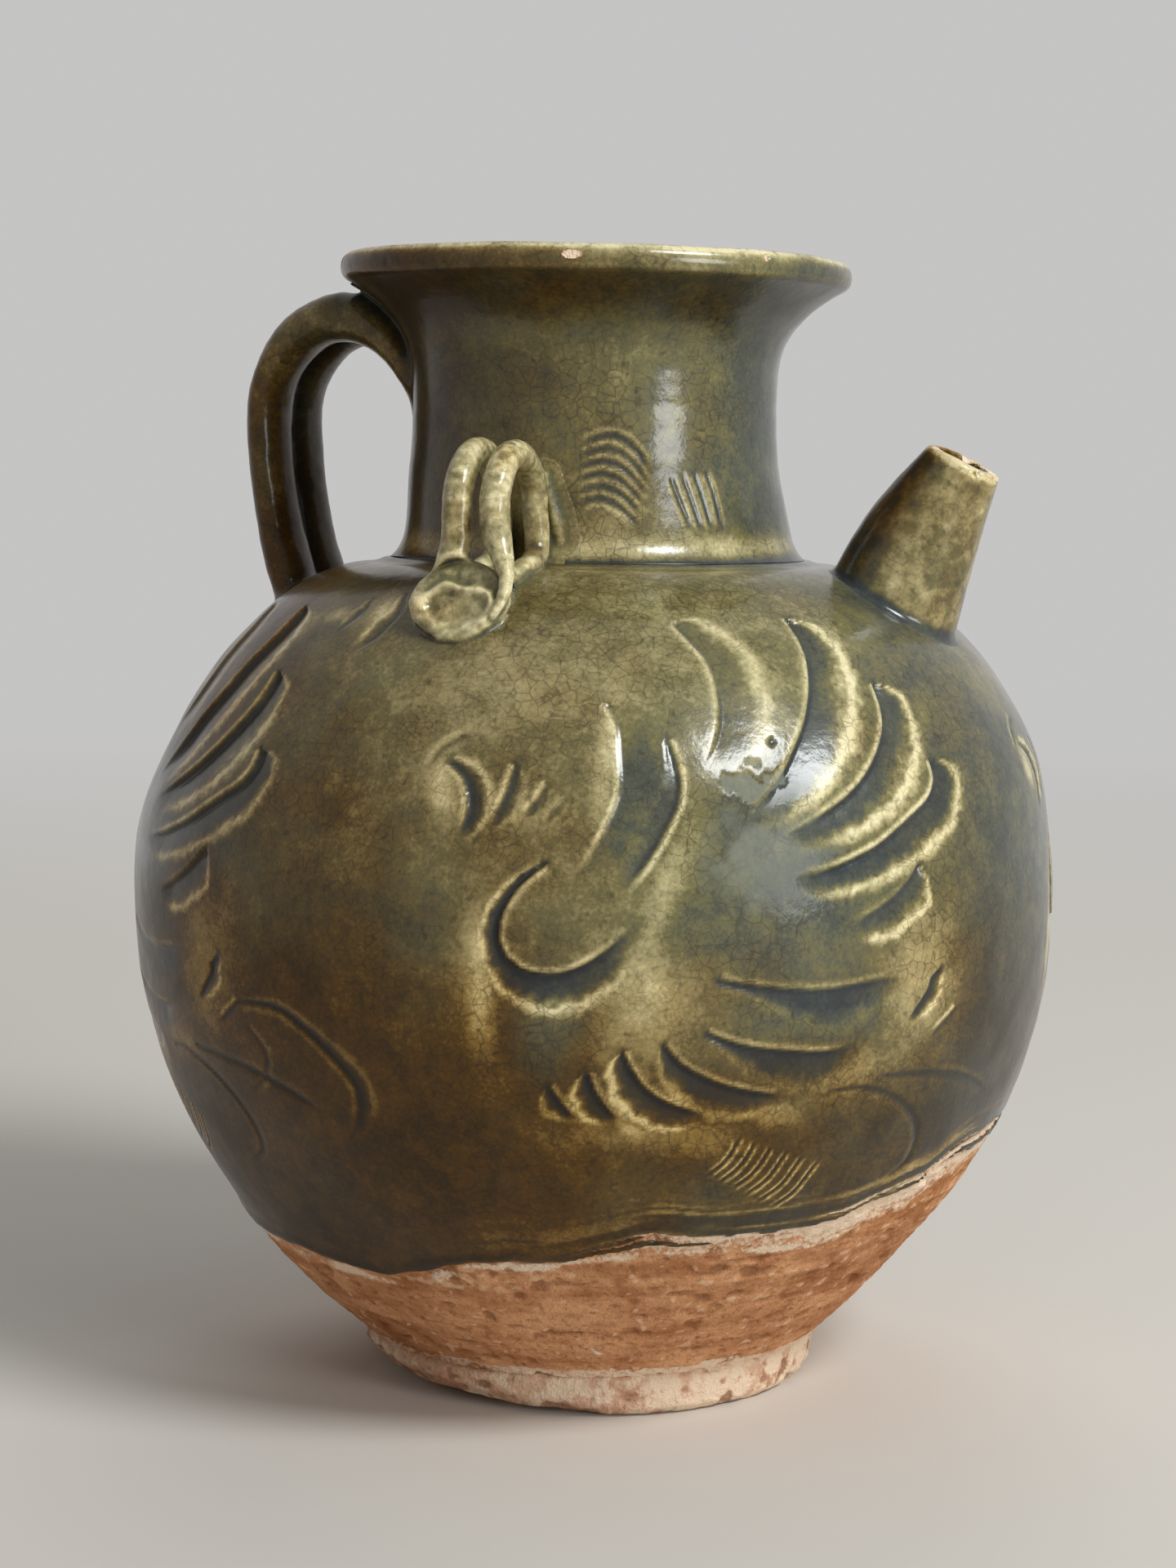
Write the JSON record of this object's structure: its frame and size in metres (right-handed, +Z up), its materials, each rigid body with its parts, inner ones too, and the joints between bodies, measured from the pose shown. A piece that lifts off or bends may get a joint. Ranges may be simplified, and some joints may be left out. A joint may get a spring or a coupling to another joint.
{
  "type": "ceramic jug",
  "caption": "Round-bellied stoneware ewer with a flared mouth, short spout, double-strand handle and looped lugs, green-brown glaze above a bare foot.",
  "frame": {"origin": "centre of the foot's resting plane", "axes": "+Z up along the jug's axis, +X towards the spout, -X towards the handle, lugs along -Y and +Y"},
  "size_m": [0.1608, 0.1608, 0.195],
  "materials": {
    "glaze": "glossy olive-brown celadon glaze with a fine crackle",
    "pale_glaze": "thinner, paler buff-olive glaze",
    "bare_body": "unglazed reddish-brown stoneware, rough",
    "bare_foot": "unglazed pale pinkish stoneware, rough"
  },
  "bodies": {
    "root": {"foot_ring": "bare_foot", "lower_wall": "bare_body", "belly": "glaze", "shoulder": "glaze", "neck": "glaze", "spout": "pale_glaze", "handle_strand_front": "glaze", "handle_strand_back": "glaze", "lug_front_left_loop": "pale_glaze", "lug_front_right_loop": "pale_glaze", "lug_front_pad": "pale_glaze", "lug_back_left_loop": "pale_glaze", "lug_back_right_loop": "pale_glaze", "lug_back_pad": "pale_glaze"}
  },
  "joints": []
}
